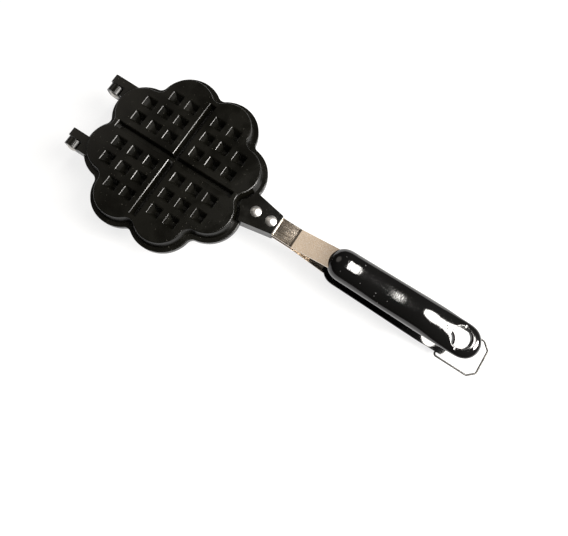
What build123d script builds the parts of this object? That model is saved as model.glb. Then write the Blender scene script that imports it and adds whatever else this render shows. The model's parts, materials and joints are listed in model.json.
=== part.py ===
from build123d import *
import os
from math import asin, atan, atan2, cos, degrees, radians, sin, tan

# A stove-top waffle iron: two hinged plates with four hearts each, on two long grips.
# It is drawn closed and level, with the plate's centre at the origin, the plane where
# the two plates meet at z = 0, the grips towards +X and the hinge towards -X.
# At the end every piece is laid down as the closed iron lies on a table.

# Running fits and clearances
PARTING_GAP = 0.2
RUNNING_CLEARANCE = 0.05
SEAT_CLEARANCE = 0.01
FIT_GAP = 0.15

# Plate outline: eight lobes, two to each heart
LOBES = 8
LOBE_RING = 57.5
TOP_LOBE = 24.5
FLANGE_LOBE = 31.3
CLEFT_ROUND = 6.6
WALL_DRAFT = 15.0

# Plate heights, measured from the parting plane
HALF_HEIGHT = 12.5
FLANGE_TOP = 3.5
WALL = 2.8
EDGE_ROUND = 1.2
FLANGE_ROUND = 0.9

# Pits in the outside of the plate, which are the studs inside
PIT_PITCH = 18.0
PIT_START = 15.2
PIT_WIDTH = 11.5
PIT_FLOOR = 3.2
PIT_DEPTH = 7.5
PIT_CORNER = 1.1
PITS_A_SIDE = 3
RIM_BEVEL = 0.45
BEVEL_SLOPE = 45.0

# Channels between the hearts, which are the ridges inside
CHANNEL_WIDTH = 6.8
CHANNEL_REACH = 65.0
CHANNEL_DEPTH = 7.0
CHANNEL_DRAFT = 12.0

# Tongue that carries the strap
TONGUE_ROOT_X = 80.0
TONGUE_ROOT_HALF = 16.8
TONGUE_TIP_X = 116.0
TONGUE_TIP_HALF = 10.3
TONGUE_TOP = 9.0
TONGUE_CORNER = 2.2
TONGUE_ROUND = 0.8
VALLEY_WIDTH = 2.0

# Strap between the tongue and the grip
STRAP_WIDTH = 20.0
STRAP_THICKNESS = 2.0
STRAP_START_X = 84.0
STRAP_SEAT = 4.5
STRAP_BEND_X = 136.0
STRAP_BEND_ROUND = 9.0

# Rivets through the tongue and the strap
RIVET_INNER_X = 91.5
RIVET_OUTER_X = 108.2
RIVET_SHANK = 2.5
RIVET_HEAD = 5.4
RIVET_HEAD_HEIGHT = 2.3
RIVET_TAIL = 4.0
RIVET_TAIL_HEIGHT = 1.4

# Hinge
HINGE_X = -93.0
BARREL = 7.5
EAR_CENTRE = 33.5
EAR_WIDTH = 17.0
EAR_TOP = 8.0
EAR_ROUND = 4.5
EAR_GAP = 2.2
KNUCKLE_GAP = 0.5
HINGE_PIN = 2.5
PIN_HEAD = 4.8
PIN_HEAD_HEIGHT = 1.9
PIN_SHORT = 0.3
PIN_EDGE = 0.5

# Grip, from its nose at s = 0 along its own flat face
GRIP_NOSE_X = 171.5
GRIP_NOSE_Z = 13.1
GRIP_RISE = 1.0
GRIP_LENGTH = 153.7
NOSE_RADIUS = 15.0
FRONT_HALF = 15.0
REAR_HALF = 16.4
REAR_S = 112.0
FRONT_CROWN = 13.0
FRONT_CROWN_S = 28.0
DIP_CROWN = 11.4
DIP_S = 56.0
REAR_CROWN = 13.0
REAR_CROWN_S = 92.0
RING_CROWN = 6.2
RING_RADIUS = 15.8
SKIRT_SHARE = 0.12
GRIP_BAYS = 14
HANG_HOLE = 9.5
HANG_INSET = 20.2
HANG_EDGE = 1.2

# Tang of the strap inside the grip, and the pin that holds it
TANG_BEND_S = 9.0
TANG_MID = 4.1
TANG_SHOULDER_S = 22.0
TANG_WIDTH = 12.0
TANG_PIN_S = 117.0
TANG_END_S = 120.5
TANG_PIN = 1.3
TANG_PIN_SINK = 0.5
PIN_SINK_HOLE = 1.9
PIN_SINK_DEPTH = 1.2

# Wire bail at the end of the grips
WIRE = 0.9
BAIL_ARM_HALF = 18.8
BAIL_CORNER = 7.1
BAIL_REACH = 42.7
BAIL_BAR_HALF = 12.3
BAIL_BEND = 2.6
BAIL_END_HALF = 12.0
BAIL_PIVOT_UP = 3.0
WIRE_CLEARANCE = 0.15
GROOVE_WIDTH = 4.6
GROOVE_DEPTH = 2.0

TURNED_OVER = (180, 0, 0)

# Values that follow from the sizes above
lobe_step = 360.0 / LOBES
wall_lobe = TOP_LOBE + (HALF_HEIGHT - FLANGE_TOP) * tan(radians(WALL_DRAFT))
ceiling = HALF_HEIGHT - WALL
cavity_lobe = TOP_LOBE + HALF_HEIGHT * tan(radians(WALL_DRAFT)) - WALL / cos(radians(WALL_DRAFT))
pit_taper = degrees(atan((PIT_WIDTH - PIT_FLOOR) / 2 / PIT_DEPTH))
stud_tip = HALF_HEIGHT - PIT_DEPTH - WALL
stud_tip_width = PIT_FLOOR + 2 * WALL * (1 / cos(radians(pit_taper)) - tan(radians(pit_taper)))
ridge_tip = HALF_HEIGHT - CHANNEL_DEPTH - WALL
channel_floor = CHANNEL_WIDTH - 2 * CHANNEL_DEPTH * tan(radians(CHANNEL_DRAFT))
ridge_width = channel_floor + 2 * WALL
channel_plans = ((2 * CHANNEL_REACH, CHANNEL_WIDTH), (CHANNEL_WIDTH, 2 * CHANNEL_REACH))
ridge_plans = ((4 * LOBE_RING, ridge_width), (ridge_width, 4 * LOBE_RING))
strap_mid = STRAP_SEAT - STRAP_THICKNESS / 2
rivet_places = {"inner": RIVET_INNER_X, "outer": RIVET_OUTER_X}
ring_s = GRIP_LENGTH - RING_RADIUS
hang_s = GRIP_LENGTH - HANG_INSET
bail_straight = BAIL_REACH - BAIL_CORNER

grip_plane = Plane(
    origin=(GRIP_NOSE_X, 0, GRIP_NOSE_Z),
    x_dir=(cos(radians(GRIP_RISE)), 0, sin(radians(GRIP_RISE))),
    z_dir=(-sin(radians(GRIP_RISE)), 0, cos(radians(GRIP_RISE))),
)


def along_grip(s, up=0.0):
    """A point on the grip's middle plane, s from the nose and up from its flat face."""
    return grip_plane.from_local_coords(Vector(s, 0, up))


bail_pivot = along_grip(hang_s, BAIL_PIVOT_UP)
bail_pivot = Vector(bail_pivot.X, 0, -bail_pivot.Z)


def lobed_outline(lobe):
    """The plate's outline in plan, for one radius of its lobes."""
    with BuildSketch() as outline:
        Circle(LOBE_RING)
        with PolarLocations(LOBE_RING, LOBES, start_angle=lobe_step / 2):
            Circle(lobe)
        fillet(outline.vertices().sort_by_distance((0, 0, 0))[:LOBES], CLEFT_ROUND)
    return outline.sketch


def tongue_outline():
    """The tongue in plan, with its root inside the plate."""
    slope = (TONGUE_ROOT_HALF - TONGUE_TIP_HALF) / (TONGUE_TIP_X - TONGUE_ROOT_X)
    root_half = TONGUE_ROOT_HALF + slope * (TONGUE_ROOT_X - LOBE_RING)
    with BuildSketch() as outline:
        with BuildLine():
            Polyline(
                (LOBE_RING, -root_half),
                (TONGUE_TIP_X, -TONGUE_TIP_HALF),
                (TONGUE_TIP_X, TONGUE_TIP_HALF),
                (LOBE_RING, root_half),
                close=True,
            )
        make_face()
        fillet(outline.vertices().group_by(Axis.X)[-1], TONGUE_CORNER)
    return outline.sketch


def pit_centres():
    """The places of the pits: a square grid in each quarter without its outer corner."""
    steps = [
        (PIT_START + i * PIT_PITCH, PIT_START + j * PIT_PITCH)
        for i in range(PITS_A_SIDE)
        for j in range(PITS_A_SIDE)
        if i + j < 2 * (PITS_A_SIDE - 1)
    ]
    return [(a * x, b * y) for a in (-1, 1) for b in (-1, 1) for x, y in steps]


wall_outline = lobed_outline(wall_lobe)
flange_outline = lobed_outline(FLANGE_LOBE)
valley_outline = lobed_outline(wall_lobe + VALLEY_WIDTH)
cavity_outline = lobed_outline(cavity_lobe)
tongue_plan = tongue_outline()


def batter_cavity():
    """The hollow of one plate, with the studs and ridges left standing in it."""
    with BuildPart() as cavity:
        with BuildSketch():
            add(cavity_outline)
        extrude(amount=ceiling, taper=WALL_DRAFT)
        with BuildSketch(Plane.XY.offset(stud_tip)):
            with Locations(*pit_centres()):
                RectangleRounded(stud_tip_width, stud_tip_width, PIT_CORNER)
        extrude(amount=ceiling - stud_tip + WALL / 2, taper=-pit_taper, mode=Mode.SUBTRACT)
        for length, width in ridge_plans:
            with BuildSketch(Plane.XY.offset(ridge_tip)):
                Rectangle(length, width)
            extrude(amount=ceiling - ridge_tip + WALL / 2, taper=-CHANNEL_DRAFT, mode=Mode.SUBTRACT)
    return cavity.part


cavity_blank = batter_cavity()


def plate_casting():
    """One plate, with its outside face up and its rim on the parting plane."""
    rim = PARTING_GAP / 2
    down = Plane(origin=(0, 0, HALF_HEIGHT), x_dir=(1, 0, 0), z_dir=(0, 0, -1))
    arm_end = HINGE_X + BARREL + EAR_GAP
    with BuildPart() as casting:
        # Rim and drafted wall
        with BuildSketch(Plane.XY.offset(rim)):
            add(flange_outline)
        extrude(amount=FLANGE_TOP - rim)
        fillet(casting.faces().sort_by(Axis.Z)[-1].edges(), FLANGE_ROUND)
        with BuildSketch(Plane.XY.offset(FLANGE_TOP)):
            add(wall_outline)
        extrude(amount=HALF_HEIGHT - FLANGE_TOP, taper=WALL_DRAFT)
        fillet(casting.faces().sort_by(Axis.Z)[-1].edges(), EDGE_ROUND)

        # Tongue, with a valley between its pad and the wall
        with BuildSketch(Plane.XY.offset(rim)):
            add(tongue_plan)
        extrude(amount=FLANGE_TOP - rim)
        with BuildSketch(Plane.XY.offset(FLANGE_TOP)):
            add(tongue_plan)
            add(valley_outline, mode=Mode.SUBTRACT)
        extrude(amount=TONGUE_TOP - FLANGE_TOP)
        pad = casting.faces().filter_by_position(Axis.Z, TONGUE_TOP - 0.01, TONGUE_TOP + 0.01)
        fillet(pad.edges(), TONGUE_ROUND)

        # Ears: an arm as wide as the ear, and a knuckle on half of it
        for side in (-1, 1):
            low = side * EAR_CENTRE - EAR_WIDTH / 2
            split = side * EAR_CENTRE + KNUCKLE_GAP / 2
            with BuildSketch(Plane.XZ.offset(-low)):
                with BuildLine():
                    Polyline(
                        (arm_end, rim), (-LOBE_RING, rim), (-LOBE_RING, EAR_TOP), (arm_end, EAR_TOP),
                        close=True,
                    )
                make_face()
            extrude(amount=-EAR_WIDTH)
            with BuildSketch(Plane.XZ.offset(-split)) as knuckle:
                with BuildLine():
                    Polyline(
                        (HINGE_X - BARREL, 0), (HINGE_X, 0), (HINGE_X, rim), (-LOBE_RING, rim),
                        (-LOBE_RING, EAR_TOP), (HINGE_X - BARREL, EAR_TOP),
                        close=True,
                    )
                make_face()
                fillet(knuckle.vertices().group_by(Axis.X)[0].sort_by(Axis.Y)[-1], EAR_ROUND)
                with Locations((HINGE_X, 0)):
                    Circle(BARREL)
            extrude(amount=-(EAR_WIDTH - KNUCKLE_GAP) / 2)

        # Cavity inside, pits and channels outside, each with a small bevel round its mouth
        add(cavity_blank, mode=Mode.SUBTRACT)
        for grow, channel_depth, channel_slope, pit_depth, pit_slope in (
            (0, CHANNEL_DEPTH, CHANNEL_DRAFT, PIT_DEPTH, pit_taper),
            (RIM_BEVEL, RIM_BEVEL, BEVEL_SLOPE, RIM_BEVEL, BEVEL_SLOPE),
        ):
            for length, width in channel_plans:
                with BuildSketch(down):
                    Rectangle(length + 2 * grow, width + 2 * grow)
                extrude(amount=channel_depth, taper=channel_slope, mode=Mode.SUBTRACT)
            with BuildSketch(down):
                with Locations(*pit_centres()):
                    RectangleRounded(PIT_WIDTH + 2 * grow, PIT_WIDTH + 2 * grow, PIT_CORNER + grow)
            extrude(amount=pit_depth, taper=pit_slope, mode=Mode.SUBTRACT)

        # Seat of the strap and rivet holes
        with BuildSketch():
            with Locations(((STRAP_START_X + TONGUE_TIP_X + WALL) / 2, 0)):
                Rectangle(TONGUE_TIP_X + WALL - STRAP_START_X, STRAP_WIDTH + 2 * FIT_GAP)
        extrude(amount=STRAP_SEAT, mode=Mode.SUBTRACT)
        with BuildSketch():
            with Locations(*[(x, 0) for x in rivet_places.values()]):
                Circle(RIVET_SHANK + RUNNING_CLEARANCE)
        extrude(amount=TONGUE_TOP, mode=Mode.SUBTRACT)
    return casting.part


def strap_blank(margin):
    """The strap and its tang, grown all round by the margin."""
    with BuildPart() as blank:
        with BuildLine() as run:
            FilletPolyline(
                (STRAP_START_X + FIT_GAP, 0, strap_mid),
                (STRAP_BEND_X, 0, strap_mid),
                along_grip(TANG_BEND_S, TANG_MID),
                along_grip(TANG_END_S + margin, TANG_MID),
                radius=STRAP_BEND_ROUND,
            )
        with BuildSketch(Plane(origin=run.line @ 0, x_dir=(0, 1, 0), z_dir=run.line % 0)):
            Rectangle(STRAP_WIDTH + 2 * margin, STRAP_THICKNESS + 2 * margin)
        sweep(path=run.line)
        trim = STRAP_WIDTH
        with BuildSketch(grip_plane):
            for side in (-1, 1):
                with Locations(
                    (
                        (TANG_SHOULDER_S + margin + GRIP_LENGTH) / 2,
                        side * (TANG_WIDTH / 2 + margin + trim / 2),
                    )
                ):
                    Rectangle(GRIP_LENGTH - TANG_SHOULDER_S - margin, trim)
        extrude(amount=2 * TANG_MID, mode=Mode.SUBTRACT)
    return blank.part


def crown(s):
    """Height of the grip's back above its flat face, through its named stations."""
    stations = (
        (0.0, FRONT_CROWN),
        (FRONT_CROWN_S, FRONT_CROWN),
        (DIP_S, DIP_CROWN),
        (REAR_CROWN_S, REAR_CROWN),
        (hang_s, RING_CROWN),
        (GRIP_LENGTH, RING_CROWN),
    )
    for (s0, h0), (s1, h1) in zip(stations, stations[1:]):
        if s <= s1:
            share = (s - s0) / (s1 - s0)
            ease = share * share * (3 - 2 * share)
            return h0 + (h1 - h0) * ease
    return RING_CROWN


def half_width(s):
    """Half the width of the grip's flat face, before its ends are rounded."""
    if s < REAR_S:
        return FRONT_HALF + (REAR_HALF - FRONT_HALF) * s / REAR_S
    return REAR_HALF + (RING_RADIUS - REAR_HALF) * (s - REAR_S) / (ring_s - REAR_S)


def grip_stations():
    """Stations along the grip, each with the share of its width and height there."""
    turns = (8, 24, 42, 62)
    nose = [(NOSE_RADIUS * (1 - cos(radians(a))), sin(radians(a))) for a in turns]
    bay = (ring_s - NOSE_RADIUS) / GRIP_BAYS
    body = [(NOSE_RADIUS + i * bay, 1.0) for i in range(GRIP_BAYS + 1)]
    tail = [(ring_s + RING_RADIUS * cos(radians(a)), sin(radians(a))) for a in reversed(turns)]
    return nose + body + tail


def moulded_grip():
    """A grip over its flat face, with the tang's slot, the pin's hole and the hanging hole."""
    with BuildPart() as grip:
        for s, share in grip_stations():
            half = share * (half_width(s) if s < ring_s else RING_RADIUS)
            height = share * crown(s)
            skirt = SKIRT_SHARE * height
            with BuildSketch(Plane(origin=along_grip(s), x_dir=(0, 1, 0), z_dir=grip_plane.x_dir)):
                with BuildLine():
                    Polyline((-half, skirt), (-half, 0), (half, 0), (half, skirt))
                    EllipticalCenterArc((0, skirt), half, height - skirt, arc_size=180)
                make_face()
        loft()
        with BuildSketch(grip_plane.offset(-RING_CROWN)):
            with Locations((hang_s, 0)):
                Circle(HANG_HOLE)
        extrude(amount=3 * RING_CROWN, mode=Mode.SUBTRACT)
        bore = grip.faces().filter_by(GeomType.CYLINDER)
        fillet(bore.edges().filter_by(GeomType.LINE, reverse=True), HANG_EDGE)
        add(tang_slot, mode=Mode.SUBTRACT)
        with BuildSketch(grip_plane):
            with Locations((TANG_PIN_S, 0)):
                Circle(TANG_PIN + SEAT_CLEARANCE)
        extrude(amount=REAR_CROWN, mode=Mode.SUBTRACT)
        with BuildSketch(grip_plane.offset(crown(TANG_PIN_S) - PIN_SINK_DEPTH)):
            with Locations((TANG_PIN_S, 0)):
                Circle(PIN_SINK_HOLE)
        extrude(amount=2 * PIN_SINK_DEPTH, mode=Mode.SUBTRACT)
    return grip.part


def tang_pin():
    """The pin that holds the tang in the grip."""
    with BuildPart() as pin:
        with BuildSketch(grip_plane):
            with Locations((TANG_PIN_S, 0)):
                Circle(TANG_PIN)
        extrude(amount=crown(TANG_PIN_S) - TANG_PIN_SINK)
        chamfer(pin.edges().filter_by(GeomType.CIRCLE), PIN_EDGE / 2)
    return pin.part


def cap(radius, height):
    """The ball of a spherical cap, and the angle above its equator where the cap starts."""
    ball = (radius**2 + height**2) / (2 * height)
    return ball, degrees(asin((ball - height) / ball))


def rivet(x):
    """A domed rivet through the tongue and the strap, turned on its own axis."""
    foot = STRAP_SEAT - STRAP_THICKNESS
    head_ball, head_start = cap(RIVET_HEAD, RIVET_HEAD_HEIGHT)
    tail_ball, tail_start = cap(RIVET_TAIL, RIVET_TAIL_HEIGHT)
    with BuildPart() as piece:
        with BuildSketch(Plane.XZ):
            with BuildLine():
                head_centre = (x, TONGUE_TOP + RIVET_HEAD_HEIGHT - head_ball)
                head = CenterArc(head_centre, head_ball, head_start, 90 - head_start)
                tail_centre = (x, foot - RIVET_TAIL_HEIGHT + tail_ball)
                tail = CenterArc(tail_centre, tail_ball, 270, 90 - tail_start)
                Polyline(head @ 0, (x + RIVET_SHANK, TONGUE_TOP), (x + RIVET_SHANK, foot), tail @ 1)
                Line(tail @ 0, head @ 1)
            make_face()
        revolve(axis=Axis((x, 0, 0), (0, 0, 1)))
    return piece.part


def hinge_pin(side):
    """The pin of one ear: a domed head against the lower knuckle and a shank through both."""
    seat = side * EAR_CENTRE - EAR_WIDTH / 2 - SEAT_CLEARANCE
    end = seat + EAR_WIDTH - PIN_SHORT
    ball, start = cap(PIN_HEAD, PIN_HEAD_HEIGHT)
    with BuildPart() as pin:
        with BuildSketch():
            with BuildLine():
                head = CenterArc((HINGE_X, seat - PIN_HEAD_HEIGHT + ball), ball, 270, 90 - start)
                Polyline(
                    head @ 1, (HINGE_X + HINGE_PIN, seat), (HINGE_X + HINGE_PIN, end - PIN_EDGE),
                    (HINGE_X + HINGE_PIN - PIN_EDGE, end), (HINGE_X, end), head @ 0,
                )
            make_face()
        revolve(axis=Axis((HINGE_X, 0, 0), (0, 1, 0)))
    return pin.part


casting = plate_casting()
tang_slot = strap_blank(FIT_GAP)
strap = strap_blank(0)
grip = moulded_grip()
pin = tang_pin()
rivets = {place: rivet(x) for place, x in rivet_places.items()}
hinge_pins = {"left": hinge_pin(1), "right": hinge_pin(-1)}
hinge_axis_plane = Plane.XZ.offset(-2 * EAR_CENTRE)

# The two plates are one casting, and the lower one is turned over about the iron's length
with BuildPart() as upper_plate:
    add(casting)
    with BuildSketch(hinge_axis_plane):
        with Locations((HINGE_X, 0)):
            Circle(HINGE_PIN + RUNNING_CLEARANCE)
    extrude(amount=4 * EAR_CENTRE, mode=Mode.SUBTRACT)

with BuildPart() as lower_plate:
    add(casting, rotation=TURNED_OVER)
    with BuildSketch(hinge_axis_plane):
        with Locations((HINGE_X, 0)):
            Circle(HINGE_PIN + SEAT_CLEARANCE)
    extrude(amount=4 * EAR_CENTRE, mode=Mode.SUBTRACT)

with BuildPart() as left_hinge_pin:
    add(hinge_pins["left"])

with BuildPart() as right_hinge_pin:
    add(hinge_pins["right"])

# Straps and their rivets
with BuildPart() as upper_strap:
    add(strap)
    with BuildSketch():
        with Locations(*[(x, 0) for x in rivet_places.values()]):
            Circle(RIVET_SHANK + RUNNING_CLEARANCE)
    extrude(amount=STRAP_SEAT, mode=Mode.SUBTRACT)
    with BuildSketch(grip_plane):
        with Locations((TANG_PIN_S, 0)):
            Circle(TANG_PIN + SEAT_CLEARANCE)
    extrude(amount=2 * TANG_MID, mode=Mode.SUBTRACT)

with BuildPart() as lower_strap:
    add(upper_strap.part, rotation=TURNED_OVER)

with BuildPart() as upper_inner_rivet:
    add(rivets["inner"])

with BuildPart() as upper_outer_rivet:
    add(rivets["outer"])

with BuildPart() as lower_inner_rivet:
    add(rivets["inner"], rotation=TURNED_OVER)

with BuildPart() as lower_outer_rivet:
    add(rivets["outer"], rotation=TURNED_OVER)

# Grips and the pins through their tangs
with BuildPart() as upper_grip:
    add(grip)
    groove_axis = Plane(origin=along_grip(hang_s), x_dir=grip_plane.x_dir, z_dir=(0, -1, 0))
    with BuildSketch(groove_axis):
        with Locations((0, RING_CROWN - GROOVE_DEPTH + GROOVE_WIDTH / 2)):
            Circle(GROOVE_WIDTH / 2)
        with Locations((0, RING_CROWN - GROOVE_DEPTH + GROOVE_WIDTH)):
            Rectangle(GROOVE_WIDTH, GROOVE_WIDTH)
    extrude(amount=2 * RING_RADIUS, both=True, mode=Mode.SUBTRACT)

with BuildPart() as lower_grip:
    add(grip, rotation=TURNED_OVER)
    for side in (-1, 1):
        with BuildSketch(Plane.XZ.offset(-side * (BAIL_END_HALF - PIN_SHORT))):
            with Locations((bail_pivot.X, bail_pivot.Z)):
                Circle(WIRE + WIRE_CLEARANCE)
        extrude(amount=-side * RING_RADIUS, mode=Mode.SUBTRACT)

with BuildPart() as upper_grip_pin:
    add(pin)

with BuildPart() as lower_grip_pin:
    add(pin, rotation=TURNED_OVER)

# Wire bail, hung in the lower grip and laid straight out
with BuildPart() as latch_bail:
    with BuildLine(Plane(origin=bail_pivot, x_dir=(1, 0, 0), z_dir=(0, 0, 1))) as wire_run:
        FilletPolyline(
            (0, BAIL_END_HALF),
            (0, BAIL_ARM_HALF),
            (bail_straight, BAIL_ARM_HALF),
            (BAIL_REACH, BAIL_BAR_HALF),
            (BAIL_REACH, -BAIL_BAR_HALF),
            (bail_straight, -BAIL_ARM_HALF),
            (0, -BAIL_ARM_HALF),
            (0, -BAIL_END_HALF),
            radius=BAIL_BEND,
        )
    with BuildSketch(Plane(origin=wire_run.line @ 0, z_dir=wire_run.line % 0)):
        Circle(WIRE)
    sweep(path=wire_run.line)

pieces = {
    "upper_plate": upper_plate,
    "lower_plate": lower_plate,
    "left_hinge_pin": left_hinge_pin,
    "right_hinge_pin": right_hinge_pin,
    "upper_strap": upper_strap,
    "lower_strap": lower_strap,
    "upper_inner_rivet": upper_inner_rivet,
    "upper_outer_rivet": upper_outer_rivet,
    "lower_inner_rivet": lower_inner_rivet,
    "lower_outer_rivet": lower_outer_rivet,
    "upper_grip": upper_grip,
    "lower_grip": lower_grip,
    "upper_grip_pin": upper_grip_pin,
    "lower_grip_pin": lower_grip_pin,
    "latch_bail": latch_bail,
}

# The closed iron lies on the hinge end of its lower plate and the back of its lower grip
plate_heel = Vector(-LOBE_RING * cos(radians(lobe_step / 2)) - TOP_LOBE, 0, HALF_HEIGHT)
grip_back = along_grip(REAR_CROWN_S, REAR_CROWN)
tilt = degrees(atan2(grip_back.Z - plate_heel.Z, grip_back.X - plate_heel.X))
tilted = Compound([piece.part.moved(Location((0, 0, 0), (0, tilt, 0))) for piece in pieces.values()])
box = tilted.bounding_box()
rest = Location((-box.center().X, -box.center().Y, -box.min.Z), (0, tilt, 0))

os.makedirs("parts", exist_ok=True)
for name, piece in pieces.items():
    piece.part = piece.part.moved(rest)
    piece.part.label = name
    export_step(piece.part, f"parts/{name}.step")
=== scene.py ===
"""The looks of a stove-top waffle iron with four hearts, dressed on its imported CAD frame."""

from __future__ import annotations

import json
import logging
import math
from dataclasses import dataclass, field
from enum import Enum

import bmesh
import bpy
from mathutils import Matrix, Vector

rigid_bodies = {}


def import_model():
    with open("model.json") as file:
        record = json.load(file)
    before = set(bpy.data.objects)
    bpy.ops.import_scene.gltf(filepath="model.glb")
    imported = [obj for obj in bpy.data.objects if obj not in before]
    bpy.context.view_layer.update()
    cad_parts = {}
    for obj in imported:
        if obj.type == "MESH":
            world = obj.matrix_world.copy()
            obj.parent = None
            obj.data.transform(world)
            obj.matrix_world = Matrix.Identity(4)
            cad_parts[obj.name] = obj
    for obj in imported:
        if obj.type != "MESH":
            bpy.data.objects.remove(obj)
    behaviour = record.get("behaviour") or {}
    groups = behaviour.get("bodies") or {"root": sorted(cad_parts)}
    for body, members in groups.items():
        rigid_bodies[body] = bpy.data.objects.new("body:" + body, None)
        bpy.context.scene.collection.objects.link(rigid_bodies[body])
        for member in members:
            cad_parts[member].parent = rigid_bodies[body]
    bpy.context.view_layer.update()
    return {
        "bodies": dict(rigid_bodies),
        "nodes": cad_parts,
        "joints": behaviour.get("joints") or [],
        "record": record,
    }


LOG = logging.getLogger("waffle_iron")
MM = 0.001
PHOTO_WIDTH = 568
HINGE_ARM = 93.0

Colour = tuple[float, float, float, float]


class Half(Enum):
    """The two halves of the iron. The value is the first word of a half's CAD nodes."""

    UPPER = "upper"
    LOWER = "lower"


@dataclass(frozen=True)
class IronAxes:
    """The iron's own axes: x runs from the plates' centre to the grips, z out of the upper plate.

    Args:
        centre: The plates' centre on the parting plane, in metres.
        tilt: The angle at which the iron lies, about y.
    """

    centre: Vector
    tilt: float

    @classmethod
    def from_record(cls, record: dict) -> IronAxes:
        """Finds the axes from the upper plate's face and the hinge.

        Args:
            record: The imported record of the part.

        Returns:
            The axes of the iron as it lies.
        """
        faces = {mount["name"]: mount["axis"] for mount in record["mounts"]}
        joints = {joint["name"]: joint["pos_m"] for joint in record["behaviour"]["joints"]}
        up = Vector(faces["upper_stove_face"])
        tilt = math.atan2(up.x, up.z)
        fore = Vector((math.cos(tilt), 0, -math.sin(tilt)))
        return cls(Vector(joints["plate_hinge"]) + fore * HINGE_ARM * MM, tilt)

    @property
    def turn(self) -> Matrix:
        """The iron's tilt as a rotation."""
        return Matrix.Rotation(self.tilt, 4, "Y")

    @property
    def matrix(self) -> Matrix:
        """Takes millimetres on the iron's axes to metres in the scene."""
        return Matrix.Translation(self.centre) @ self.turn @ Matrix.Scale(MM, 4)

    def point(self, x: float, y: float, z: float) -> Vector:
        """A place on the iron's axes, in the scene."""
        return self.matrix @ Vector((x, y, z))


class Graph:
    """Adds and joins the nodes of one material or node group."""

    def __init__(self, tree: bpy.types.NodeTree) -> None:
        """Takes the tree that the nodes go into."""
        self.tree = tree

    def feed(self, socket: bpy.types.NodeSocket, value: object) -> None:
        """Links a socket to another, or sets its value.

        Args:
            socket: The input.
            value: An output to link, or a plain value.
        """
        if isinstance(value, bpy.types.NodeSocket):
            self.tree.links.new(value, socket)
        else:
            socket.default_value = value

    def node(self, kind: str, inputs: dict | None = None, **settings: object) -> bpy.types.Node:
        """Adds a node.

        Args:
            kind: The node's type, without its common first part.
            inputs: Sockets or values for its inputs, by name or number.
            **settings: Properties of the node.

        Returns:
            The new node.
        """
        made = self.tree.nodes.new(f"ShaderNode{kind}")
        for name, value in settings.items():
            setattr(made, name, value)
        for name, value in (inputs or {}).items():
            self.feed(made.inputs[name], value)
        return made

    def math(self, operation: str, *values: object, clamp: bool = False) -> bpy.types.NodeSocket:
        """Works out one number from others."""
        made = self.node("Math", dict(enumerate(values)), operation=operation, use_clamp=clamp)
        return made.outputs[0]

    def span(
        self, value: object, low: float, high: float, start: float = 0.0, end: float = 1.0
    ) -> bpy.types.NodeSocket:
        """Maps a value smoothly from low..high to start..end."""
        inputs = {"Value": value, "From Min": low, "From Max": high, "To Min": start, "To Max": end}
        return self.node("MapRange", inputs, interpolation_type="SMOOTHSTEP").outputs[0]

    def mix(self, share: object, first: object, second: object) -> bpy.types.NodeSocket:
        """Mixes two colours.

        Args:
            share: The second colour's share.
            first: The colour at a share of 0.
            second: The colour at a share of 1.

        Returns:
            The mixed colour.
        """
        made = self.node("Mix", {"Factor": share}, data_type="RGBA")
        for socket, value in ((made.inputs[6], first), (made.inputs[7], second)):
            self.feed(socket, value)
        return made.outputs[2]

    def noise(
        self, vector: object, scale: object, detail: float = 3.0, distortion: float = 0.0
    ) -> bpy.types.NodeSocket:
        """Soft noise at a scale, as a value about a half."""
        inputs = {"Vector": vector, "Scale": scale, "Detail": detail, "Distortion": distortion}
        return self.node("TexNoise", inputs).outputs["Fac"]

    def stretch(self, vector: object, size: tuple, turn: tuple = (0, 0, 0)) -> bpy.types.NodeSocket:
        """Turns and stretches the coordinates."""
        inputs = {"Vector": vector, "Scale": size, "Rotation": turn}
        return self.node("Mapping", inputs).outputs[0]


def rgb(red: float, green: float, blue: float) -> Colour:
    """A colour with full alpha."""
    return (red, green, blue, 1.0)


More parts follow.
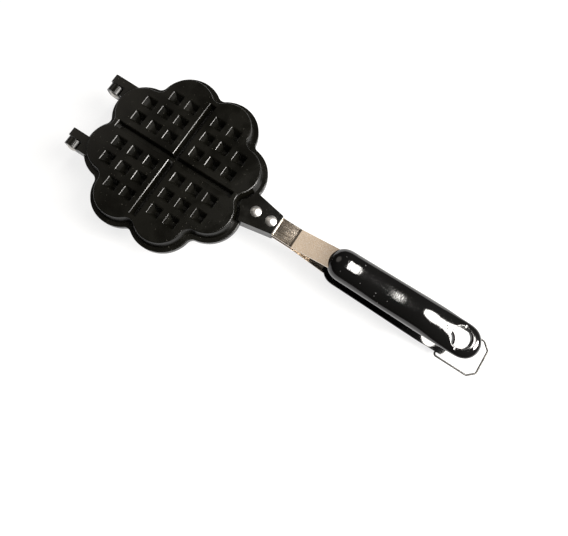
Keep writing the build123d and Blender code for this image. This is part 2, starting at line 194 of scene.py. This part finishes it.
class EffectGroups:
    """The surface effects that several finishes share, each a node group made once."""

    SCRATCH_WAYS = (12, 71, -38)
    SCRATCH_STRETCH = (0.05, 2.2, 2.2)

    def __init__(self) -> None:
        """Builds every group."""
        self.specks = self._specks()
        self.grain = self._grain()
        self.scratches = self._scratches()
        self.blotches = self._blotches()

    @staticmethod
    def _start(
        name: str, inputs: dict[str, float], output: str
    ) -> tuple[Graph, bpy.types.Node, bpy.types.Node]:
        """Starts a group.

        Args:
            name: The group's name.
            inputs: Its number inputs with their defaults. A vector input comes first.
            output: The name of its one output.

        Returns:
            The graph of the group, its input node and its output node.
        """
        tree = bpy.data.node_groups.new(name, "ShaderNodeTree")
        tree.interface.new_socket("Vector", in_out="INPUT", socket_type="NodeSocketVector")
        for label, value in inputs.items():
            socket = tree.interface.new_socket(
                label, in_out="INPUT", socket_type="NodeSocketFloat"
            )
            socket.default_value = value
        tree.interface.new_socket(output, in_out="OUTPUT", socket_type="NodeSocketFloat")
        entry = tree.nodes.new("NodeGroupInput")
        leave = tree.nodes.new("NodeGroupOutput")
        return Graph(tree), entry, leave

    def _specks(self) -> bpy.types.NodeTree:
        """Makes small bright dots of dust or grit.

        Returns:
            A group that puts out a mask.
        """
        graph, entry, leave = self._start("dust specks", {"Scale": 1.0, "Share": 0.1}, "Mask")
        place, scale, share = entry.outputs[0], entry.outputs[1], entry.outputs[2]
        cells = graph.node("TexVoronoi", {"Vector": place, "Scale": scale})
        draws = graph.node("SeparateColor", {0: cells.outputs["Color"]}).outputs
        chosen = graph.math("LESS_THAN", draws[0], share)
        radius = graph.math("MULTIPLY_ADD", draws[1], 0.22, 0.08)
        dot = graph.math("LESS_THAN", cells.outputs["Distance"], radius)
        graph.feed(leave.inputs[0], graph.math("MULTIPLY", dot, chosen))
        return graph.tree

    def _grain(self) -> bpy.types.NodeTree:
        """Makes the fine roughness of a cast or sprayed surface.

        Returns:
            A group that puts out a height.
        """
        graph, entry, leave = self._start("cast grain", {"Scale": 1.0}, "Height")
        place, scale = entry.outputs[0], entry.outputs[1]
        fine = graph.noise(place, scale, 4.0)
        coarse = graph.noise(place, graph.math("MULTIPLY", scale, 0.22), 2.0)
        graph.feed(leave.inputs[0], graph.math("MULTIPLY_ADD", coarse, 0.8, fine))
        return graph.tree

    def _scratches(self) -> bpy.types.NodeTree:
        """Makes thin scratches that run in a few directions.

        Returns:
            A group that puts out a mask.
        """
        graph, entry, leave = self._start("scratches", {"Scale": 1.0, "Share": 0.3}, "Mask")
        place, scale, share = entry.outputs[0], entry.outputs[1], entry.outputs[2]
        level = graph.math("SUBTRACT", 1.0, share)
        total: object = 0.0
        for degrees in self.SCRATCH_WAYS:
            lines = graph.stretch(place, self.SCRATCH_STRETCH, (0, 0, math.radians(degrees)))
            wavy = graph.noise(lines, scale, 2.0, 0.15)
            peak = graph.math("SUBTRACT", wavy, graph.math("MULTIPLY_ADD", level, 0.3, 0.45))
            line = graph.math("MULTIPLY", peak, 14.0, clamp=True)
            total = graph.math("MAXIMUM", total, line)
        graph.feed(leave.inputs[0], total)
        return graph.tree

    def _blotches(self) -> bpy.types.NodeTree:
        """Makes soft uneven patches.

        Returns:
            A group that puts out a value from 0 to 1.
        """
        graph, entry, leave = self._start("blotches", {"Scale": 0.1}, "Value")
        patches = graph.noise(entry.outputs[0], entry.outputs[1], 3.0, 0.4)
        graph.feed(leave.inputs[0], graph.span(patches, 0.3, 0.7))
        return graph.tree


@dataclass
class Bench:
    """One material while it is being made.

    Args:
        material: The material.
        graph: Its nodes.
        shader: Its Principled BSDF.
        iron: The coordinates in millimetres on the iron's axes.
    """

    material: bpy.types.Material
    graph: Graph
    shader: bpy.types.Node
    iron: bpy.types.NodeSocket

    def effect(self, group: bpy.types.NodeTree, *values: float) -> bpy.types.NodeSocket:
        """Places a shared effect on the iron's coordinates.

        Args:
            group: The effect's node group.
            *values: Its scale and, where it has one, its share.

        Returns:
            What the effect puts out.
        """
        made = self.graph.tree.nodes.new("ShaderNodeGroup")
        made.node_tree = group
        for number, value in enumerate((self.iron, *values)):
            self.graph.feed(made.inputs[number], value)
        return made.outputs[0]

    def feed(self, name: str, value: object) -> None:
        """Links or sets one of the shader's inputs."""
        self.graph.feed(self.shader.inputs[name], value)

    def bump(self, height: object, strength: float, distance_mm: float) -> None:
        """Puts a height on the shader as bump."""
        inputs = {"Height": height, "Strength": strength, "Distance": distance_mm * MM}
        self.feed("Normal", self.graph.node("Bump", inputs).outputs[0])


@dataclass
class Workshop:
    """What every finish works with: the iron's axes and the shared effects."""

    axes: IronAxes
    effects: EffectGroups

    def start(self, name: str) -> Bench:
        """Starts a material.

        Args:
            name: The material's name.

        Returns:
            The material on its bench, with the iron's coordinates ready.
        """
        material = bpy.data.materials.new(name)
        material.use_nodes = True
        graph = Graph(material.node_tree)
        shader = graph.tree.nodes["Principled BSDF"]
        inputs = {
            "Vector": graph.node("TexCoord").outputs["Object"],
            "Location": self.axes.centre,
            "Rotation": (0, self.axes.tilt, 0),
            "Scale": (MM, MM, MM),
        }
        iron = graph.node("Mapping", inputs, vector_type="TEXTURE").outputs[0]
        return Bench(material, graph, shader, iron)


@dataclass(frozen=True)
class Finish:
    """What every finish says: its name and its slot in the record."""

    name: str
    slot: str

    def dress(self, shop: Workshop) -> bpy.types.Material:
        """Makes the material.

        Args:
            shop: The axes and the shared effects.

        Returns:
            The finished material.
        """
        raise NotImplementedError


@dataclass(frozen=True)
class CoatedCasting(Finish):
    """Die-cast metal under a thin dark coating with a satin gloss."""

    name: str = "coated casting"
    slot: str = "coated_casting"
    gloss: float = 0.3
    dark: Colour = rgb(0.0017, 0.0016, 0.0011)
    warm: Colour = rgb(0.0038, 0.0036, 0.0026)
    speck: Colour = rgb(0.05, 0.047, 0.038)
    smoothest: float = 0.22
    roughest: float = 0.29
    grain_height: float = 0.04

    def dress(self, shop: Workshop) -> bpy.types.Material:
        """Makes the coating with its grain and specks.

        Args:
            shop: The axes and the shared effects.

        Returns:
            The finished material.
        """
        bench = shop.start(self.name)
        graph = bench.graph
        patches = bench.effect(shop.effects.blotches, 0.05)
        specks = bench.effect(shop.effects.specks, 0.9, 0.05)
        coat = graph.mix(patches, self.dark, self.warm)
        bench.feed("Base Color", graph.mix(specks, coat, self.speck))
        satin = graph.span(patches, 0.0, 1.0, self.smoothest, self.roughest)
        bench.feed("Roughness", graph.math("MULTIPLY_ADD", specks, 0.2, satin))
        bench.feed("Specular IOR Level", self.gloss)
        bench.bump(bench.effect(shop.effects.grain, 1.6), 0.2, self.grain_height)
        return bench.material


@dataclass(frozen=True)
class BrushedSteel(Finish):
    """Strip steel, brushed along its length and scratched in use."""

    name: str = "brushed strap steel"
    slot: str = "steel_strap"
    pale: Colour = rgb(0.80, 0.70, 0.59)
    dull: Colour = rgb(0.60, 0.48, 0.36)
    scratch: Colour = rgb(0.85, 0.83, 0.8)
    stroke: tuple[float, float, float] = (0.06, 3.2, 3.2)
    smoothest: float = 0.1
    roughest: float = 0.16
    stroke_height: float = 0.015

    def dress(self, shop: Workshop) -> bpy.types.Material:
        """Makes the steel with its brushing and scratches.

        Args:
            shop: The axes and the shared effects.

        Returns:
            The finished material.
        """
        bench = shop.start(self.name)
        graph = bench.graph
        strokes = graph.noise(graph.stretch(bench.iron, self.stroke), 1.0, 4.0)
        patches = bench.effect(shop.effects.blotches, 0.09)
        scratches = bench.effect(shop.effects.scratches, 1.1, 0.42)
        shade = graph.mix(graph.span(strokes, 0.3, 0.7), self.dull, self.pale)
        shade = graph.mix(graph.math("MULTIPLY", scratches, 0.7), shade, self.scratch)
        bench.feed("Base Color", shade)
        bench.feed("Metallic", 1.0)
        brushed = graph.span(strokes, 0.3, 0.7, self.smoothest, self.roughest)
        bench.feed("Roughness", graph.math("MULTIPLY_ADD", patches, 0.05, brushed))
        height = graph.math("MULTIPLY_ADD", scratches, -0.6, strokes)
        bench.bump(height, 0.12, self.stroke_height)
        return bench.material


@dataclass(frozen=True)
class HammeredRivet(Finish):
    """Bright rivet metal with the small flats that closing the rivet left."""

    name: str = "hammered rivet"
    slot: str = "rivet_alloy"
    metal: Colour = rgb(0.86, 0.85, 0.83)
    scratch: Colour = rgb(0.45, 0.43, 0.4)
    smoothest: float = 0.36
    roughest: float = 0.46
    flat_depth: float = 0.4

    def dress(self, shop: Workshop) -> bpy.types.Material:
        """Makes the bright metal.

        Args:
            shop: The axes and the shared effects.

        Returns:
            The finished material.
        """
        bench = shop.start(self.name)
        graph = bench.graph
        cells = graph.node("TexVoronoi", {"Vector": bench.iron, "Scale": 0.42}, feature="SMOOTH_F1")
        patches = bench.effect(shop.effects.blotches, 0.5)
        scratches = bench.effect(shop.effects.scratches, 1.6, 0.3)
        share = graph.math("MULTIPLY", scratches, 0.4)
        bench.feed("Base Color", graph.mix(share, self.metal, self.scratch))
        bench.feed("Metallic", 1.0)
        rough = graph.span(patches, 0.0, 1.0, self.smoothest, self.roughest)
        bench.feed("Roughness", rough)
        bench.bump(cells.outputs["Distance"], 0.3, self.flat_depth)
        return bench.material


@dataclass(frozen=True)
class GlossyGrip(Finish):
    """Hard moulded black resin, polished, with a little dust and fine wiping marks."""

    name: str = "moulded grip resin"
    slot: str = "moulded_grip"
    gloss: float = 0.65
    resin: Colour = rgb(0.003, 0.003, 0.003)
    dust: Colour = rgb(0.1, 0.1, 0.1)
    smoothest: float = 0.07
    roughest: float = 0.11
    wave_height: float = 0.6

    def dress(self, shop: Workshop) -> bpy.types.Material:
        """Makes the resin.

        Args:
            shop: The axes and the shared effects.

        Returns:
            The finished material.
        """
        bench = shop.start(self.name)
        graph = bench.graph
        patches = bench.effect(shop.effects.blotches, 0.05)
        specks = bench.effect(shop.effects.specks, 0.5, 0.04)
        scratches = bench.effect(shop.effects.scratches, 0.9, 0.2)
        bench.feed("Base Color", graph.mix(specks, self.resin, self.dust))
        polish = graph.span(patches, 0.0, 1.0, self.smoothest, self.roughest)
        bench.feed("Roughness", graph.math("MULTIPLY_ADD", scratches, 0.12, polish))
        bench.feed("Specular IOR Level", self.gloss)
        bench.bump(graph.noise(bench.iron, 0.11, 1.0), 0.05, self.wave_height)
        return bench.material


@dataclass(frozen=True)
class DrawnWire(Finish):
    """Drawn spring wire, a little tarnished."""

    name: str = "bail wire"
    slot: str = "steel_wire"
    metal: Colour = rgb(0.06, 0.058, 0.055)
    tarnish: Colour = rgb(0.025, 0.024, 0.022)
    smoothest: float = 0.24
    roughest: float = 0.38
    grain_height: float = 0.03

    def dress(self, shop: Workshop) -> bpy.types.Material:
        """Makes the wire.

        Args:
            shop: The axes and the shared effects.

        Returns:
            The finished material.
        """
        bench = shop.start(self.name)
        graph = bench.graph
        patches = bench.effect(shop.effects.blotches, 0.3)
        bench.feed("Base Color", graph.mix(patches, self.tarnish, self.metal))
        bench.feed("Metallic", 1.0)
        rough = graph.span(patches, 0.0, 1.0, self.roughest, self.smoothest)
        bench.feed("Roughness", rough)
        bench.bump(bench.effect(shop.effects.grain, 5.0), 0.2, self.grain_height)
        return bench.material


@dataclass(frozen=True)
class TurnedPin(Finish):
    """Turned steel with a fine grain on its heads and ends."""

    name: str = "cut steel pin"
    slot: str = "steel_pin"
    metal: Colour = rgb(0.58, 0.56, 0.53)
    shade: Colour = rgb(0.4, 0.38, 0.35)
    smoothest: float = 0.2
    roughest: float = 0.4
    grain_height: float = 0.03

    def dress(self, shop: Workshop) -> bpy.types.Material:
        """Makes the pin steel.

        Args:
            shop: The axes and the shared effects.

        Returns:
            The finished material.
        """
        bench = shop.start(self.name)
        graph = bench.graph
        patches = bench.effect(shop.effects.blotches, 0.4)
        grain = bench.effect(shop.effects.grain, 4.0)
        bench.feed("Base Color", graph.mix(patches, self.shade, self.metal))
        bench.feed("Metallic", 1.0)
        bench.feed("Roughness", graph.span(grain, 0.6, 1.1, self.smoothest, self.roughest))
        bench.bump(grain, 0.3, self.grain_height)
        return bench.material


@dataclass
class Finishes:
    """Every material of the iron, each made once."""

    shop: Workshop
    made: dict[str, bpy.types.Material] = field(default_factory=dict)

    def get(self, finish: Finish) -> bpy.types.Material:
        """Gives the material of a finish.

        Args:
            finish: The finish.

        Returns:
            Its material, made the first time it is asked for.
        """
        if finish.name not in self.made:
            self.made[finish.name] = finish.dress(self.shop)
        return self.made[finish.name]

    def paint(self, obj: bpy.types.Object, finish: Finish) -> None:
        """Gives an object one finish.

        Args:
            obj: The object.
            finish: Its finish.
        """
        obj.data.materials.clear()
        obj.data.materials.append(self.get(finish))


@dataclass
class DressedNodes:
    """CAD nodes that are shown as they are, with one finish."""

    nodes: tuple[str, ...]
    finish: Finish

    def build(self, frame: dict, finishes: Finishes) -> list[bpy.types.Object]:
        """Paints the nodes.

        Args:
            finishes: The materials.

        Returns:
            The painted objects.
        """
        shown = [frame["nodes"][name] for name in self.nodes]
        for obj in shown:
            finishes.paint(obj, self.finish)
        return shown


@dataclass(frozen=True)
class SoftBox:
    """A soft elliptical lamp above the iron.

    Args:
        name: The lamp's name.
        target: Where it points, in millimetres on the iron's axes.
        toward: The direction from there to the lamp.
        away: Its distance in metres.
        size: Its length along the iron and its width across, in metres.
        power: Its power in watts.
        tint: The colour of its light.
    """

    name: str
    target: tuple[float, float, float]
    toward: tuple[float, float, float]
    away: float
    size: tuple[float, float]
    power: float
    tint: tuple[float, float, float] = (1.0, 0.97, 0.93)

    def hang(self, axes: IronAxes) -> bpy.types.Object:
        """Hangs the lamp.

        Args:
            axes: The iron's axes.

        Returns:
            The lamp.
        """
        data = bpy.data.lights.new(self.name, "AREA")
        data.shape = "ELLIPSE"
        data.size, data.size_y = self.size
        data.energy, data.color = self.power, self.tint
        lamp = bpy.data.objects.new(self.name, data)
        way = Vector(self.toward).normalized()
        along = (Vector((1, 0, 0)) - way * way.x).normalized()
        turn = Matrix((along, way.cross(along), way)).transposed().to_4x4()
        place = Matrix.Translation(axes.point(*self.target)) @ axes.turn
        lamp.matrix_world = place @ Matrix.Translation(way * self.away) @ turn
        bpy.context.scene.collection.objects.link(lamp)
        return lamp


@dataclass
class Studio:
    """The camera, the lights, the sky and the pale floor.

    Args:
        axes: The iron's axes.
        eye: The camera's place, in millimetres on the iron's axes.
        right: The direction to the right of the picture.
        down: The direction down the picture.
        focal_px: The focal length in pixels of the photo.
        sensor: The sensor's width in millimetres.
        floor_half: Half the floor's side in metres.
        window: The direction of the sky's bright window.
        boxes: The lamps.
    """

    axes: IronAxes
    eye: tuple = (166.5, -90.5, 377.9)
    right: tuple = (0.8405, 0.5409, 0.0324)
    down: tuple = (0.538, -0.8258, -0.1694)
    focal_px: float = 412.6
    sensor: float = 36.0
    floor_half: float = 3.0
    window: tuple = (-0.70, 0.22, 0.68)
    boxes: tuple[SoftBox, ...] = (
        SoftBox("round box", (199, 0, 27), (0.045, 0.25, 0.967), 0.9, (0.08, 0.8), 4.8),
        SoftBox("long box", (275, 0, 24), (0.517, 0.27, 0.812), 0.9, (0.48, 0.6), 19.0),
        SoftBox("low box", (0, 0, 12), (0.9, 0.22, 0.4), 1.2, (0.16, 0.4), 15.0),
    )

    def camera(self) -> bpy.types.Object:
        """Places the camera where the photo was taken from.

        Returns:
            The camera.
        """
        lens = bpy.data.cameras.new("photo camera")
        lens.sensor_width = self.sensor
        lens.lens = self.focal_px * self.sensor / PHOTO_WIDTH
        lens.clip_start, lens.clip_end = 0.01, 50.0
        right, down = Vector(self.right).normalized(), Vector(self.down).normalized()
        back = right.cross(-down)
        turn = Matrix((right, -down, back)).transposed().to_4x4()
        camera = bpy.data.objects.new("photo camera", lens)
        place = Matrix.Translation(self.axes.point(*self.eye))
        camera.matrix_world = place @ self.axes.turn @ turn
        bpy.context.scene.collection.objects.link(camera)
        bpy.context.scene.camera = camera
        return camera

    def sky(self) -> None:
        """A dark sky with one bright window, which the rising straps reflect."""
        world = bpy.data.worlds.new("studio sky")
        world.use_nodes = True
        bpy.context.scene.world = world
        graph = Graph(world.node_tree)
        way = graph.node("TexCoord").outputs["Generated"]
        inputs = {0: way, 1: Vector(self.window).normalized()}
        near = graph.node("VectorMath", inputs, operation="DOT_PRODUCT").outputs["Value"]
        share = graph.span(near, 0.945, 0.985)
        colour = graph.mix(share, rgb(0.04, 0.037, 0.032), rgb(1.0, 0.93, 0.85))
        graph.feed(graph.tree.nodes["Background"].inputs["Color"], colour)

    @staticmethod
    def floor_finish() -> bpy.types.Material:
        """Makes the floor's material, which shows pale and keeps the shadow.

        Returns:
            The material.
        """
        material = bpy.data.materials.new("studio floor")
        material.use_nodes = True
        graph = Graph(material.node_tree)
        shader = graph.tree.nodes["Principled BSDF"]
        shader.inputs["Base Color"].default_value = rgb(0.22, 0.22, 0.22)
        shader.inputs["Roughness"].default_value = 0.9
        shader.inputs["Specular IOR Level"].default_value = 0.0
        rays = graph.node("LightPath").outputs
        seen = graph.math("MAXIMUM", rays["Is Camera Ray"], rays["Is Glossy Ray"])
        seen = graph.math("MAXIMUM", seen, rays["Is Transmission Ray"])
        shader.inputs["Emission Color"].default_value = rgb(1, 1, 1)
        graph.feed(shader.inputs["Emission Strength"], graph.math("MULTIPLY", seen, 0.8))
        return material

    def floor(self) -> bpy.types.Object:
        """Lays the wide pale floor.

        Returns:
            The floor.
        """
        mesh = bpy.data.meshes.new("studio_floor")
        builder = bmesh.new()
        bmesh.ops.create_grid(builder, x_segments=1, y_segments=1, size=self.floor_half)
        builder.to_mesh(mesh)
        builder.free()
        floor = bpy.data.objects.new("studio_floor", mesh)
        bpy.context.scene.collection.objects.link(floor)
        mesh.materials.append(self.floor_finish())
        return floor

    def build(self) -> None:
        """Sets up the whole studio."""
        self.camera()
        self.sky()
        self.floor()
        for box in self.boxes:
            box.hang(self.axes)


def pieces() -> dict[str, DressedNodes]:
    """Lists what the iron is made of.

    Returns:
        The CAD nodes with their finishes, by the kind of piece.
    """
    rivets = tuple(
        f"{half.value}_{place}_rivet" for half in Half for place in ("inner", "outer")
    )
    pins = ("left_hinge_pin", "right_hinge_pin", "upper_grip_pin", "lower_grip_pin")
    return {
        "plates": DressedNodes(("upper_plate", "lower_plate"), CoatedCasting()),
        "straps": DressedNodes(("upper_strap", "lower_strap"), BrushedSteel()),
        "rivets": DressedNodes(rivets, HammeredRivet()),
        "grips": DressedNodes(("upper_grip", "lower_grip"), GlossyGrip()),
        "pins": DressedNodes(pins, TurnedPin()),
        "bail": DressedNodes(("latch_bail",), DrawnWire()),
    }


def main() -> None:
    """Builds the dressed iron in its studio."""
    logging.basicConfig(level=logging.INFO, format="%(name)s: %(message)s")
    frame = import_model()
    axes = IronAxes.from_record(frame["record"])
    finishes = Finishes(Workshop(axes, EffectGroups()))
    for label, group in pieces().items():
        LOG.info("%s: %s", label, ", ".join(obj.name for obj in group.build(frame, finishes)))
    Studio(axes).build()
    bpy.context.scene.view_settings.view_transform = "Standard"


if __name__ == "__main__":
    main()
